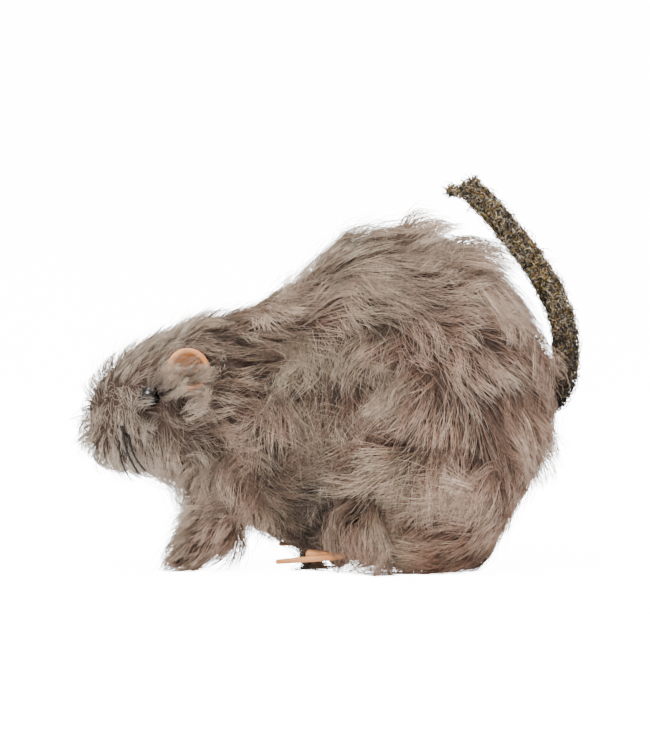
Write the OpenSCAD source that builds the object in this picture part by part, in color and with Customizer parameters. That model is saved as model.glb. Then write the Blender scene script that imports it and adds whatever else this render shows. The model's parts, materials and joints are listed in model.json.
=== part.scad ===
// Clockwork mouse: a plush toy that runs on a wound spring.
// Heights and lengths below are measured from the point on the floor under the middle of the mouse,
// nose towards -X and tail towards +X. The part's own origin is the middle of the seat pad under the
// base plate, so every module places its work with from_floor().

/* [Coat] */
// Thickness of plush cloth and pile over the body shell
coat_t = 5; // [4:0.5:5.5]
// Width of the haunches over the fur
haunch_w = 64; // [60:1:68]
// Thickness of the forelegs at the shoulder
foreleg_d = 17; // [15:1:18]

/* [Shell] */
// Wall of the body shell
shell_wall = 1.5; // [1.2:0.1:1.8]
// Glue gap between the shell and the coat
glue_gap = 0.3; // [0.2:0.1:0.5]

/* [Face] */
// Diameter of the ear over its rim
ear_d = 10.4; // [9:0.2:12]
// Diameter of the eye bead
eye_d = 5.2; // [4.4:0.2:5.6]
// Length of a whisker
whisker_len = 17; // [14:0.5:20]

/* [Tail] */
// Diameter of the tail at its root
tail_d = 6.2; // [5.4:0.2:7]
// Diameter of the tail near its tip
tail_tip_d = 5; // [4:0.2:5.4]

/* [Wheels] */
// Diameter of a drive wheel over its tyre
wheel_d = 16; // [15:0.5:16]
// Width of a tyre
tyre_w = 3.4; // [2.8:0.2:3.6]
// Diameter of the front roller
roller_d = 6; // [5.6:0.2:6]

/* [Clockwork] */
// Gear module
gear_m = 0.5; // [0.5:0.01:0.5]
// Thickness of the motor plates
plate_t = 1; // [0.8:0.1:1]
// Turns of the mainspring
spring_turns = 7; // [5:1:8]
// Width of the key's wings
key_w = 19; // [15:1:20]

/* [Hidden] */
$fn = 48;

// Colours
fur_c = [0.63, 0.55, 0.49];
flesh_c = [0.90, 0.70, 0.55];
black_c = [0.10, 0.10, 0.12];
steel_c = [0.70, 0.71, 0.73];
brass_c = [0.80, 0.66, 0.38];
tweed_c = [0.52, 0.46, 0.36];
shell_c = [0.30, 0.26, 0.23];
hub_c = [0.82, 0.78, 0.70];

// The part's origin: the middle of the seat pad, in floor measures
seat_at = [12.5, 0, 2.2];
seat_size = [10, 14];
// Where the coat's lower edge is cut, just clear of the floor
hem_z = 0.6;
// Where the shell is cut off, on top of the base plate
base_z = 3;
base_t = 1.8;
base_top = base_z + base_t;

// Outside of the coat from muzzle to rump. Each row is a cross-section:
// place along X, lowest point, height of the widest point, highest point, half width
sections = [
    [-58.5, 29.5, 34.5, 39.5, 4],
    [-56.5, 26.5, 35, 44, 8],
    [-52, 23, 36, 49.5, 12],
    [-47, 21.8, 36.5, 53.8, 15],
    [-40, 19.8, 36.5, 57.3, 17.2],
    [-31, 15.5, 36, 60.3, 20.5],
    [-22, 10, 34.5, 63, 23.2],
    [-13, 6.2, 32.5, 67.2, 25.4],
    [-9, 4.5, 31.8, 70, 26.2],
    [-5, -4, 31, 73.6, 27],
    [2, -8, 30.3, 77.8, 28.2],
    [9, -8, 30, 80, 29],
    [16, -8, 29.5, 81, 29.5],
    [24, -8, 30, 79, 29.3],
    [33, 1, 31, 76, 27.5],
    [41, 10.5, 33, 69.8, 24],
    [47, 18, 35, 62.3, 19.5],
    [51.3, 27.5, 37.5, 55, 13.5],
    [53.6, 35, 40.5, 48.3, 6.5]
];
// Roundness of a cross-section: 2 is an ellipse, more is squarer
round_top = 2.2;
round_low = 3.2;
ring_n = 24;
body_mid = 0;
body_half = 56;
// Middle of a haunch, and half its length and half its height
haunch_at = [20.3, 15.5, 21];
haunch_half = [24.8, 22.5];
// Where the hood ends and the coat begins
neck_x = -26;
stitch_gap = 0.15;

// Clockwork axes, as [X, Z]
axle_at = [23.5, wheel_d / 2];
barrel_at = [6.5, 27];
teeth_barrel = 48;
teeth_pinion = 10;
teeth_second = 36;
teeth_drive = 12;
reach_1 = gear_m * (teeth_barrel + teeth_pinion) / 2;
reach_2 = gear_m * (teeth_second + teeth_drive) / 2;
second_at = meet(barrel_at, reach_1, axle_at, reach_2);
pillars_at = [[-8, 36], [18, 39.5], [30.5, 19], [-6.5, 14]];
plate_y = 8;
plate_out = plate_y + plate_t;
foot_x = [-3.5, 11];
foot_w = 3.4;
motor_screw_x = [-1, 8.5];
motor_screw_y = 10.6;
arbor_r = 2;
arbor_pivot_r = 1.5;
second_r = 1;
second_pivot_r = 0.6;
axle_r = 1;
run_gap = 0.05;
end_shake = 0.1;

// Gear stack along Y
great_y = [-7, -5.8];
drum_y = [-5.8, 4];
drum_r = 10.4;
drum_wall = 0.6;
pinion_y = [-7.4, -5.4];
second_y = [5.4, 6.4];
drive_y = [4.9, 6.9];
ratchet_y = [9.4, 10.6];
ratchet_n = 12;
ratchet_tip = 4.2;
ratchet_root = 3.2;
ratchet_square = 2.1;
click_off = [-7.5, 2.6];
click_y = [9.5, 10.5];
click_boss = 1.5;

wheel_y = [10.4, 10.4 + tyre_w];
hub_r = wheel_d / 2 - 1.6;
arch_gap = 0.6;

roller_at = [1.5, roller_d / 2];
roller_len = 8;
roller_pin_r = 0.7;
roller_ear = [4.4, 5.8];

key_y = [25.4, 36];
key_bow = [33.5, 44];
stem_r = 1.2;
stem_square = 1.6;
stem_end = 31;
bush_y = [20.2, 23.6];

eye_at = [-42.8, 14.5, 40.6];
ear_at = [-33.6, 17.8, 47];
ear_turn = 14;
ear_tilt = 12;
// Inner face of the washer on the eye's shank
washer_y = 4.6;
whisker_roots = [[-50.5, 11.4, 34.5], [-49, 12.2, 32.6], [-51.2, 10.2, 31.4]];
whisker_aims = [[0.42, 0.55, -1], [0.36, 0.42, -1], [0.3, 0.62, -1]];
whisker_in = 4;

foot_z = [3.3, 5.5];
foot_reach = [-6.4, 14.5];
foot_y = [20.2, 25];
toe_r = 0.55;
toe_tip = [-12.75, 24.2, 2.95];
tongue = [[8, 15.7], [14, 21.4]];

shell_screw_at = [[-30, 42], [-12, 56], [16, 66], [36, 52]];
base_screw_at = [[3.8, 16.5], [29.6, 5.5]];
screw_head = 0.8;
base_edge = [[-4.9, 15], [-1.5, 19.8], [24, 19.8], [33, 12]];
pinion_room = 4.2;
slot_y = [9.8, wheel_y[1] + 0.6];

// The tail's middle line, from inside the rump up and over the back, as [X, Z]
tail_route = [
    [42, 39], [46.5, 38.5], [51, 39], [54.2, 42.2], [55.5, 47.2], [55.6, 52.4], [54.9, 57.6],
    [53.2, 62.7], [50.8, 67.6], [47.8, 72.2], [44.5, 76.5], [41.1, 80.6], [38, 84.4], [35.2, 87.3],
    [33.2, 88.9]
];
tail_steps = 2;
plug_at = [1, 6];
wire_r = 0.55;

function meet(a, ra, b, rb) =
    let (d = norm(b - a), u = (b - a) / d, s = (ra * ra - rb * rb + d * d) / (2 * d),
         h = sqrt(ra * ra - s * s))
    a + s * u + h * [-u[1], u[0]];
function bearing(a, b) = atan2(b[1] - a[1], b[0] - a[0]);
function bent(c, power) = sign(c) * pow(abs(c), 2 / power);

// One cross-section of the body, taken in by "inset": a rounded box, squarer below its widest line
function ring(row, inset) =
    let (x = body_mid + (row[0] - body_mid) * (1 - inset / body_half),
         half = max(row[4] - inset, 0.8), up = max(row[3] - row[2] - inset, 0.8),
         down = max(row[2] - row[1] - inset, 0.8))
    [for (i = [0 : ring_n - 1])
        let (a = 360 * i / ring_n, p = sin(a) >= 0 ? round_top : round_low,
             c = bent(cos(a), p), s = bent(sin(a), p))
        [x, half * c, row[2] + (s >= 0 ? up : down) * s]];

// One stretch of a skin, between two rings of points
module stretch(a, b) {
    n = len(a);
    hull() polyhedron(
        concat(a, b),
        concat(
            [[for (i = [0 : n - 1]) i]],
            [for (i = [0 : n - 1]) [i, n + i, n + (i + 1) % n, (i + 1) % n]],
            [[for (i = [0 : n - 1]) 2 * n - 1 - i]]
        )
    );
}
module skin(rings) for (k = [0 : len(rings) - 2]) stretch(rings[k], rings[k + 1]);
module body_form(inset) skin([for (row = sections) ring(row, inset)]);

module from_floor() translate(-seat_at) children();
module along_y(y0, y1) translate([0, y1, 0]) rotate([90, 0, 0]) linear_extrude(y1 - y0) children();
module disc(at, y0, y1, r) translate([at[0], y1, at[1]]) rotate([90, 0, 0]) cylinder(h = y1 - y0, r = r);
module box(lo, hi) translate(lo) cube(hi - lo);
module left() mirror([0, 1, 0]) children();

// ---- Coat ----
// Space that the base plate, roller and wheels need in the coat and under the shell
module base_space() {
    box([-5.2, -20.1, -1], [33.3, 20.1, base_top + 1.2]);
    both_sides() for (p = base_screw_at) upright(p, -1, base_top + 4, 2.6);
    box([foot_reach[0] - 1, 16, -1], [foot_reach[1] + 0.4, foot_y[1] + 0.4, foot_z[1] + 0.4]);
}
// Room round the drive wheels in the coat and in the shell
module wheel_room() disc(axle_at, wheel_y[0] - arch_gap, wheel_y[1] + arch_gap, wheel_d / 2 + arch_gap);
module ear_axis(y) translate([ear_at[0], y, ear_at[2]]) rotate([0, 0, -ear_turn])
    rotate([-90 + ear_tilt, 0, 0]) children();
module whisker_axes() for (i = [0 : 2]) let (aim = whisker_aims[i]) translate(whisker_roots[i])
    rotate([0, acos(aim[2] / norm(aim)), atan2(aim[1], aim[0])]) children();
module coat() difference() {
    body_form(0);
    body_form(coat_t);
    base_space();
    wheel_room();
    box([-60, -40, -20], [60, 40, hem_z]);
}
module coat_half() difference() {
    intersection() {
        coat();
        box([neck_x, 0.02, -1], [60, 40, 90]);
    }
    // The tail comes out on the centre line
    tail_tube(tail_d / 2 + stitch_gap, tail_d / 2 + stitch_gap);
    tail_plug_space(0.2);
}
module fur_left() color(fur_c) from_floor() left() coat_half();
module fur_right() color(fur_c) from_floor() difference() {
    coat_half();
    disc(barrel_at, 15, 45, 4);
}
module fur_head() color(fur_c) from_floor() difference() {
    $fn = 24;
    intersection() {
        body_form(0);
        box([-70, -40, 0], [neck_x - stitch_gap, 40, 90]);
    }
    body_form(coat_t - 1);
    for (m = [0, 1]) mirror([0, m, 0]) {
        ear_axis(ear_at[1]) translate([0, 0, -4.6]) cylinder(h = 12, r = ear_d / 2 + 0.3);
        ear_axis(ear_at[1]) translate([0, 0, -12]) cylinder(h = 12, r = 1.3);
        translate(eye_at) sphere(r = eye_d / 2 + 0.15);
        disc([eye_at[0], eye_at[2]], 0, eye_at[1], 0.9);
        whisker_axes() translate([0, 0, -whisker_in - 0.1]) cylinder(h = 14, r = 0.5, $fn = 16);
    }
}
module haunch() difference() {
    translate(haunch_at) scale([haunch_half[0], haunch_w / 2 - haunch_at[1], haunch_half[1]])
        sphere(r = 1, $fn = 32);
    body_form(-stitch_gap);
    base_space();
    wheel_room();
    box([-60, -40, -20], [60, 40, hem_z]);
}
module fur_haunch_left() color(fur_c) from_floor() left() haunch();
module fur_haunch_right() color(fur_c) from_floor() difference() {
    haunch();
    disc(barrel_at, 15, 45, 4);
}
module foreleg() difference() {
    hull() {
        translate([-22, 13.5, 22]) sphere(r = foreleg_d / 2, $fn = 24);
        translate([-27.5, 14, 11]) sphere(r = foreleg_d / 2 - 2.4, $fn = 24);
        translate([-34.5, 14.5, 4.6]) sphere(r = 3.8, $fn = 24);
    }
    body_form(-stitch_gap);
}
module fur_foreleg_left() color(fur_c) from_floor() left() foreleg();
module fur_foreleg_right() color(fur_c) from_floor() foreleg();

// ---- Shell ----
module shell_half() difference() {
    $fn = 28;
    union() {
        difference() {
            body_form(coat_t + glue_gap);
            body_form(coat_t + glue_gap + shell_wall);
        }
        intersection() {
            body_form(coat_t + glue_gap + 0.2);
            union() {
                for (p = shell_screw_at) disc(p, -30, 30, 2.8);
                for (p = base_screw_at) translate([p[0], p[1], 0]) cylinder(h = 11, r = 2.2);
            }
        }
    }
    box([-60, -60, -20], [60, 0.01, 90]);
    box([-60, -1, -20], [60, 40, base_top]);
    disc(roller_at, -1, roller_ear[1] + 0.6, roller_d / 2 + 1.4);
    wheel_room();
    for (p = base_screw_at) translate([p[0], p[1], 0]) cylinder(h = 10.5, r = 0.95);
    tail_plug_space(0.2);
    ear_axis(ear_at[1]) translate([0, 0, -12]) cylinder(h = 12, r = 1.1);
    disc([eye_at[0], eye_at[2]], 0, 20, 0.7);
    whisker_axes() translate([0, 0, -whisker_in - 0.1]) cylinder(h = 14, r = 0.5, $fn = 16);
}
module shell_left() color(shell_c) from_floor() left() difference() {
    shell_half();
    for (p = shell_screw_at) {
        disc(p, 0, 5, 1.1);
        disc(p, 4, 30, 2.1);
    }
}
module shell_right() color(shell_c) from_floor() difference() {
    shell_half();
    for (p = shell_screw_at) disc(p, -1, 7.5, 0.95);
    disc(barrel_at, 15, 30, 2.5);
}
module shell_screws() color(steel_c) from_floor() for (p = shell_screw_at) {
    disc(p, -5.4, -4, 1.9);
    disc(p, -4, 7, 0.85);
}

// ---- Face ----
module ear() ear_axis(ear_at[1]) union() {
    rotate_extrude() difference() {
        union() {
            polygon([[0, -4.3], [1.8, -4.2], [3.4, -3.2], [4.4, -1.6], [ear_d / 2 - 0.3, 0],
                [ear_d / 2 - 1.1, 0.1], [3.5, -1.3], [2.6, -2.5], [1.4, -3.3], [0, -3.5]]);
            translate([ear_d / 2 - 0.7, 0]) circle(r = 0.7);
        }
        translate([-5, -10]) square([5, 20]);
    }
    translate([0, 0, -11]) cylinder(h = 7, r = 1);
}
module ear_left() color(flesh_c) from_floor() left() ear();
module ear_right() color(flesh_c) from_floor() ear();
module eye() {
    translate(eye_at) sphere(r = eye_d / 2);
    disc([eye_at[0], eye_at[2]], washer_y - 1, eye_at[1] - 1, 0.6);
}
module eye_left() color(black_c) from_floor() left() eye();
module eye_right() color(black_c) from_floor() eye();
module eye_washers() color(steel_c) from_floor() for (m = [0, 1]) mirror([0, m, 0]) difference() {
    disc([eye_at[0], eye_at[2]], washer_y, washer_y + 0.4, 1.6);
    disc([eye_at[0], eye_at[2]], washer_y - 1, washer_y + 1, 0.6);
}
module whiskers() whisker_axes() translate([0, 0, -whisker_in])
    cylinder(h = whisker_len, r1 = 0.3, r2 = 0.12, $fn = 16);
module whiskers_left() color(black_c) from_floor() left() whiskers();
module whiskers_right() color(black_c) from_floor() whiskers();

// ---- Tail ----
// Points on a smooth curve through the route's points
function tail_point(i, t) =
    let (n = len(tail_route), a = tail_route[max(i - 1, 0)], b = tail_route[i],
         c = tail_route[min(i + 1, n - 1)], d = tail_route[min(i + 2, n - 1)])
    0.5 * (2 * b + (c - a) * t + (2 * a - 5 * b + 4 * c - d) * t * t + (3 * b - a - 3 * c + d) * t * t * t);
tail_line = concat(
    [for (i = [0 : len(tail_route) - 2]) for (k = [0 : tail_steps - 1]) tail_point(i, k / tail_steps)],
    [tail_route[len(tail_route) - 1]]
);
// A round tube along the tail's line: r is the radius at the root, tip the radius at the end
module tail_tube(r, tip) for (k = [0 : len(tail_line) - 2]) hull() for (i = [k, k + 1])
    tail_from(tail_line[i]) sphere(r = r + (tip - r) * i / (len(tail_line) - 1), $fn = 14);
module tail_from(start) translate([start[0], 0, start[1]]) children();
module tail_sleeve() color(tweed_c) from_floor() difference() {
    union() {
        tail_tube(tail_d / 2, tail_tip_d / 2);
        // The frayed fork
        tail_from([34.4, 87.9]) rotate([0, -78, 0]) cylinder(h = 7, r1 = 1.9, r2 = 0.7, $fn = 24);
        tail_from([34, 88.9]) rotate([0, -40, 0]) cylinder(h = 3, r1 = 1.9, r2 = 1.1, $fn = 24);
    }
    tail_tube(wire_r + 0.2, wire_r + 0.2);
    plug_axis() translate([0, 0, -6]) cylinder(h = 6 + plug_at[1] + 0.1, r = 10);
}
module tail_wire() color(steel_c) from_floor() tail_tube(wire_r, wire_r);
// Direction in which the tail leaves the rump
tail_lean = 90 - bearing(tail_route[0], tail_route[1]);
module plug_axis() tail_from(tail_route[0]) rotate([0, tail_lean, 0]) children();
module tail_plug_space(gap) plug_axis() translate([0, 0, plug_at[0]])
    cylinder(h = 12, r = tail_d / 2 + 0.6 + gap);
module tail_plug() color(black_c) from_floor() plug_axis() difference() {
    union() {
        translate([0, 0, plug_at[0]]) cylinder(h = plug_at[1] - plug_at[0], r = tail_d / 2 + 0.6);
        translate([0, 0, plug_at[0] - 1]) cylinder(h = 1, r = tail_d / 2 + 1.8);
    }
    translate([0, 0, plug_at[0] - 2]) cylinder(h = 12, r = wire_r + 0.35);
}

// ---- Base, feet and roller ----
module hind_foot() {
    y0 = foot_y[0] + 1.2;
    y1 = foot_y[1] - 1.1;
    mid = (foot_z[0] + foot_z[1]) / 2;
    r = (foot_z[1] - foot_z[0]) / 2;
    hull() {
        translate([foot_reach[0] + r, y0, mid]) sphere(r = r, $fn = 24);
        translate([foot_reach[1] - r, y0, mid]) sphere(r = r, $fn = 24);
        translate([foot_reach[1] - r, y1, mid]) sphere(r = r, $fn = 24);
        translate([1, y1 - 0.4, mid]) sphere(r = r, $fn = 24);
    }
    hull() {
        translate([0, y1, 4]) sphere(r = 0.8, $fn = 24);
        translate(toe_tip) sphere(r = toe_r, $fn = 24);
    }
    box([tongue[0][0], tongue[0][1], foot_z[0]], [tongue[1][0], tongue[1][1], base_top]);
}
module hind_foot_left() color(flesh_c) from_floor() left() hind_foot();
module hind_foot_right() color(flesh_c) from_floor() hind_foot();

module both_sides() for (m = [0, 1]) mirror([0, m, 0]) children();
module upright(at, z0, z1, r) translate([at[0], at[1], z0]) cylinder(h = z1 - z0, r = r);
module base_plate() color(flesh_c) from_floor() difference() {
    union() {
        translate([0, 0, base_z]) linear_extrude(base_t) polygon(concat(
            base_edge, [for (i = [3 : -1 : 0]) [base_edge[i][0], -base_edge[i][1]]]));
        box([seat_at[0] - seat_size[0] / 2, -seat_size[1] / 2, seat_at[2]],
            [seat_at[0] + seat_size[0] / 2, seat_size[1] / 2, base_z + 0.1]);
        both_sides() disc(roller_at, roller_ear[0], roller_ear[1], 1.6);
    }
    box([roller_at[0] - roller_d / 2 - 0.5, -roller_ear[0], 0],
        [roller_at[0] + roller_d / 2 + 0.5, roller_ear[0], base_top + 2]);
    disc(roller_at, -roller_ear[1] - 1, roller_ear[1] + 1, roller_pin_r);
    both_sides() {
        box([axle_at[0] - wheel_d / 2, slot_y[0], 0], [axle_at[0] + wheel_d / 2, slot_y[1], base_top + 2]);
        box([tongue[0][0] - 0.1, tongue[0][1] - 0.1, 0], [tongue[1][0] + 0.1, 30, base_top + 2]);
        // Hollow under the drive pinion
        box([axle_at[0] - pinion_room, drive_y[0] - 0.5, base_z + 1],
            [axle_at[0] + pinion_room, drive_y[1] + 0.5, base_top + 2]);
        for (x = motor_screw_x) screw_hole([x, motor_screw_y], 0.85);
        for (p = base_screw_at) screw_hole(p, 0.8);
    }
}
// A hole with a sunk seat for the screw's head
module screw_hole(at, r) {
    upright(at, base_z - 1, base_top + 2, r);
    upright(at, base_z - 1, base_z + 0.1 + screw_head, 1.9);
}
module screw_up(at, top, r) {
    upright(at, base_z + 0.1, base_z + 0.1 + screw_head, 1.7);
    upright(at, base_z + 0.05 + screw_head, top, r);
}
module base_screws() color(steel_c) from_floor() both_sides()
    for (p = base_screw_at) screw_up(p, 10, 0.75);
module motor_screws() color(steel_c) from_floor() both_sides()
    for (x = motor_screw_x) screw_up([x, motor_screw_y], base_top + plate_t + 0.6, 0.8);
module front_roller() color(hub_c) from_floor() difference() {
    disc(roller_at, -roller_len / 2, roller_len / 2, roller_d / 2);
    disc(roller_at, -roller_len, roller_len, roller_pin_r + run_gap);
}
module roller_pin() color(steel_c) from_floor() disc(roller_at, -roller_ear[1], roller_ear[1], roller_pin_r);

// ---- Clockwork ----
pressure = 25;
tooth_top = 0.8;
tooth_foot = 1.1;
tooth_slack = 0.06;
function unwound(a) = tan(a) * 180 / PI - a;
// Half the angle that a tooth fills at radius r
function tooth_half(z, r) =
    let (pitch = gear_m * z / 2, base = pitch * cos(pressure))
    (90 - tooth_slack / 2 * 360 / (PI * gear_m)) / z + unwound(pressure) - unwound(acos(min(1, base / r)));
module gear(z, turn) {
    pitch = gear_m * z / 2;
    radii = [pitch - tooth_foot * gear_m, pitch - 0.3 * gear_m, pitch + 0.3 * gear_m,
        pitch + tooth_top * gear_m];
    rotate(turn) polygon([
        for (i = [0 : z - 1]) for (k = [0 : 7])
            let (r = radii[k < 4 ? k : 7 - k], a = 360 * i / z + (k < 4 ? -1 : 1) * tooth_half(z, r))
            [r * cos(a), r * sin(a)]
    ]);
}
module gear_at(at, span, z, turn) translate([at[0], 0, at[1]]) along_y(span[0], span[1]) gear(z, turn);

module motor_plate() difference() {
    union() {
        along_y(plate_y, plate_out) polygon([
            [-3.5, base_top], [25, base_top], [28.6, 10.6], [32.6, 19], [30.5, 21.5], [20.6, 39.5], [18, 41.9],
            [-8, 38.4], [-10.4, 36], [-8.9, 14], [-6.5, 11.6], [-3.5, 10]
        ]);
        box([foot_x[0], plate_out - 0.1, base_top], [foot_x[1], plate_out + foot_w, base_top + plate_t]);
    }
    disc(barrel_at, 0, 20, arbor_pivot_r + run_gap);
    disc(second_at, 0, 20, second_pivot_r + run_gap);
    disc(axle_at, 0, 20, axle_r + run_gap);
    for (p = pillars_at) disc(p, 0, 20, 1);
    for (x = motor_screw_x) upright([x, motor_screw_y], 0, 20, 0.85);
    // Lightening holes
    disc([5, 12], 0, 20, 2.2);
    disc([-4.5, 24], 0, 20, 2.2);
}
click_at = barrel_at + click_off;
click_pin_r = 0.8;
module motor_plate_left() color(brass_c) from_floor() left() motor_plate();
module motor_plate_right() color(brass_c) from_floor() difference() {
    motor_plate();
    disc(click_at, 0, 20, click_pin_r);
}
module motor_pillars() color(steel_c) from_floor() for (p = pillars_at) {
    disc(p, -plate_y, plate_y, 1.5);
    disc(p, -plate_out - 0.4, plate_out + 0.4, 1);
}
module square_bar(at, y0, y1, side)
    box([at[0] - side / 2, y0, at[1] - side / 2], [at[0] + side / 2, y1, at[1] + side / 2]);
module winding_arbor() color(steel_c) from_floor() {
    disc(barrel_at, -plate_y + end_shake, plate_y - end_shake, arbor_r);
    disc(barrel_at, -plate_out - 0.3, plate_out + 0.3, arbor_pivot_r);
    square_bar(barrel_at, plate_out, ratchet_y[1] + 0.2, ratchet_square);
    disc(barrel_at, ratchet_y[1], key_y[0], stem_r);
    square_bar(barrel_at, key_y[0] - 0.1, stem_end, stem_square);
}
// Where the click rests against a tooth, as a bearing from the arbor
click_rest = 202;
module ratchet_wheel() color(steel_c) from_floor() difference() {
    translate([barrel_at[0], 0, barrel_at[1]]) along_y(ratchet_y[0], ratchet_y[1]) rotate(click_rest)
        polygon([
            for (i = [0 : ratchet_n - 1]) for (r = [ratchet_root, ratchet_tip])
                [r * cos(360 * i / ratchet_n), r * sin(360 * i / ratchet_n)]
        ]);
    square_bar(barrel_at, 0, 20, ratchet_square);
}
function polar(at, r, a) = at + r * [cos(a), sin(a)];
module click() color(steel_c) from_floor() difference() {
    nose = polar(barrel_at, ratchet_root + 0.25, click_rest - 2.5);
    way = (click_at - nose) / norm(click_at - nose);
    out = [-way[1], way[0]];
    along_y(click_y[0], click_y[1]) union() {
        translate(click_at) circle(r = click_boss);
        polygon([nose, click_at - 0.3 * out, click_at + 1.3 * out, nose + 0.5 * out + 0.4 * way]);
    }
    disc(click_at, 0, 20, click_pin_r + run_gap);
}
module click_screw() color(steel_c) from_floor() {
    disc(click_at, plate_y, click_y[1] + 0.9, click_pin_r);
    disc(click_at, click_y[1] + 0.8, click_y[1] + 1.5, 1.4);
}
module click_spring() color(steel_c) from_floor() {
    translate([click_at[0], click_y[1] + 0.45, click_at[1]]) {
        rotate([90, 0, 0]) rotate_extrude() translate([1.1, 0]) circle(r = 0.2, $fn = 16);
        translate([-1.1, 0, 0]) cylinder(h = 5, r = 0.2, $fn = 16);
        rotate([0, 130, 0]) translate([-1.1, 0, 0]) cylinder(h = 3, r = 0.2, $fn = 16);
    }
}
module barrel() color(brass_c) from_floor() difference() {
    union() {
        gear_at(barrel_at, great_y, teeth_barrel, bearing(barrel_at, second_at));
        disc(barrel_at, great_y[1] - 0.1, drum_y[1], drum_r);
    }
    disc(barrel_at, drum_y[0], drum_y[1] + 1, drum_r - drum_wall);
    disc(barrel_at, -20, 20, arbor_r + run_gap);
}
module barrel_cover() color(brass_c) from_floor() difference() {
    disc(barrel_at, drum_y[1], drum_y[1] + drum_wall, drum_r);
    disc(barrel_at, -20, 20, arbor_r + run_gap);
}
spring_r = [2.6, drum_r - drum_wall - 0.2];
spring_t = 0.35;
spring_steps = 20;
module mainspring() color(steel_c) from_floor() translate([barrel_at[0], 0, barrel_at[1]])
    along_y(drum_y[0] + 0.3, drum_y[1] - 0.3) polygon([
        for (side = [0, 1]) for (k = [0 : spring_turns * spring_steps])
            let (i = side == 0 ? k : spring_turns * spring_steps - k, f = i / (spring_turns * spring_steps),
                 r = spring_r[0] + (spring_r[1] - spring_r[0] - spring_t) * f + side * spring_t,
                 a = 360 * i / spring_steps)
            [r * cos(a), r * sin(a)]
    ]);
module second_arbor() color(steel_c) from_floor() {
    disc(second_at, -plate_y + end_shake, plate_y - end_shake, second_r);
    disc(second_at, -plate_out - 0.2, plate_out + 0.2, second_pivot_r);
    gear_at(second_at, pinion_y, teeth_pinion, bearing(second_at, barrel_at) + 180 / teeth_pinion);
}
module second_wheel() color(brass_c) from_floor() difference() {
    gear_at(second_at, second_y, teeth_second, bearing(second_at, axle_at));
    disc(second_at, -20, 20, second_r);
    for (i = [0 : 4]) disc(polar(second_at, 5.2, 72 * i), -20, 20, 2);
}
module drive_axle() color(steel_c) from_floor() disc(axle_at, -wheel_y[1] - 0.4, wheel_y[1] + 0.4, axle_r);
module drive_pinion() color(brass_c) from_floor() difference() {
    gear_at(axle_at, drive_y, teeth_drive, bearing(axle_at, second_at) + 180 / teeth_drive);
    disc(axle_at, -20, 20, axle_r);
}
module drive_wheel() difference() {
    disc(axle_at, wheel_y[0], wheel_y[1], hub_r);
    disc(axle_at, wheel_y[1] - 1.2, wheel_y[1] + 1, hub_r - 1);
    disc(axle_at, 0, 20, axle_r);
    for (i = [0 : 5]) disc(polar(axle_at, 3.6, 60 * i), 0, 20, 1);
}
module drive_wheel_left() color(hub_c) from_floor() left() drive_wheel();
module drive_wheel_right() color(hub_c) from_floor() drive_wheel();
module tyre() difference() {
    disc(axle_at, wheel_y[0], wheel_y[1], wheel_d / 2);
    disc(axle_at, 0, 20, hub_r);
}
module tyre_left() color(black_c) from_floor() left() tyre();
module tyre_right() color(black_c) from_floor() tyre();
module key_bush() color(brass_c) from_floor() difference() {
    union() {
        disc(barrel_at, bush_y[0], bush_y[1], 2.4);
        disc(barrel_at, bush_y[0], bush_y[0] + 1, 3.6);
    }
    disc(barrel_at, 0, 40, stem_r + run_gap);
}
key_tube_r = 2.6;
key_t = 1.8;
key_lobe = 4.6;
module winding_key() color(steel_c) from_floor() difference() {
    union() {
        disc(barrel_at, key_y[0], key_y[1], key_tube_r);
        translate([barrel_at[0], 0, barrel_at[1] - key_t / 2]) linear_extrude(key_t) difference() {
            union() {
                for (x = [-1, 1]) translate([x * (key_w / 2 - key_lobe), key_bow[1] - key_lobe])
                    circle(r = key_lobe);
                translate([-key_w / 2 + key_lobe, key_bow[0]]) square([key_w - 2 * key_lobe, 7]);
            }
            for (x = [-1, 1]) translate([x * (key_w / 2 - key_lobe), key_bow[1] - key_lobe]) circle(r = 2.4);
        }
    }
    square_bar(barrel_at, key_y[0] - 1, stem_end + 0.1, stem_square);
}

fur_left();
fur_right();
fur_head();
fur_haunch_left();
fur_haunch_right();
fur_foreleg_left();
fur_foreleg_right();
shell_left();
shell_right();
shell_screws();
ear_left();
ear_right();
eye_left();
eye_right();
eye_washers();
whiskers_left();
whiskers_right();
tail_sleeve();
tail_wire();
tail_plug();
hind_foot_left();
hind_foot_right();
base_plate();
base_screws();
front_roller();
roller_pin();
motor_plate_left();
motor_plate_right();
motor_pillars();
motor_screws();
winding_arbor();
ratchet_wheel();
click();
click_screw();
click_spring();
barrel();
barrel_cover();
mainspring();
second_arbor();
second_wheel();
drive_axle();
drive_pinion();
drive_wheel_left();
drive_wheel_right();
tyre_left();
tyre_right();
key_bush();
winding_key();
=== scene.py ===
# %% [markdown]
# # Clockwork mouse
# A plush mouse that runs on a wound spring. The stiff parts come from the CAD frame: the shell,
# base, wheels, clockwork and key. This script dresses them. It grows the long pile of the coat, winds
# the tweed tail, bends the whiskers, and gives every surface its finish.
# All lengths are in metres, and the origin is the seat pad under the base plate.

# %% Load the frame
import json
import math

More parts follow.
